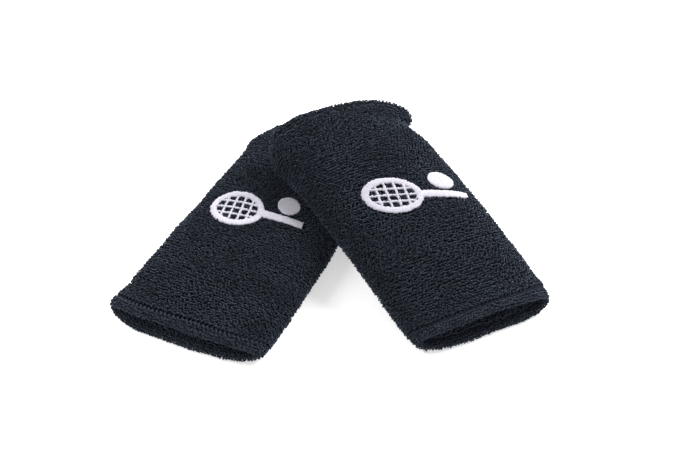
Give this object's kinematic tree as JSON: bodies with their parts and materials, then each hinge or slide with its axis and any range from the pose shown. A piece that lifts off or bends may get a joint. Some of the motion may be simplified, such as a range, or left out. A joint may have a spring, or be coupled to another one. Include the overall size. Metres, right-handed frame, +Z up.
{
  "type": "sweat wristband pair",
  "caption": "Pair of long terry sweat wristbands laid flat, one crossed over the other, each a double-walled stretch sleeve with a turned mouth welt and a small stitched racket emblem.",
  "frame": {"origin": "middle of the pair's outline, on the surface it lies on", "axes": "+X across the pair from the lower band towards the crossing band's mouth, +Z up, the mouths face -Y"},
  "size_m": [0.1992, 0.1346, 0.0374],
  "materials": {
    "terry": "looped pile",
    "terry_lining": "looped pile",
    "welt": "knitted, matte",
    "seam_thread": "spun thread",
    "elastic": "covered yarn",
    "embroidery_thread": "satin thread",
    "backing": "non-woven, matte"
  },
  "bodies": {
    "lower_band": {"lower_outer_sleeve": "terry", "lower_inner_sleeve": "terry_lining", "lower_mouth_welt": "welt", "lower_mouth_seam_thread": "seam_thread", "lower_elastic_yarn": "elastic", "lower_emblem_racket": "embroidery_thread", "lower_emblem_strings": "embroidery_thread", "lower_emblem_ball": "embroidery_thread", "lower_emblem_backing": "backing"},
    "upper_band": {"upper_outer_sleeve": "terry", "upper_inner_sleeve": "terry_lining", "upper_mouth_welt": "welt", "upper_mouth_seam_thread": "seam_thread", "upper_elastic_yarn": "elastic", "upper_emblem_racket": "embroidery_thread", "upper_emblem_strings": "embroidery_thread", "upper_emblem_ball": "embroidery_thread", "upper_emblem_backing": "backing"}
  },
  "joints": [
    {"name": "lift_upper_band", "type": "slide", "parent": "lower_band", "child": "upper_band", "axis": [0, 0, 1], "range_m": [0, 0.08]}
  ]
}
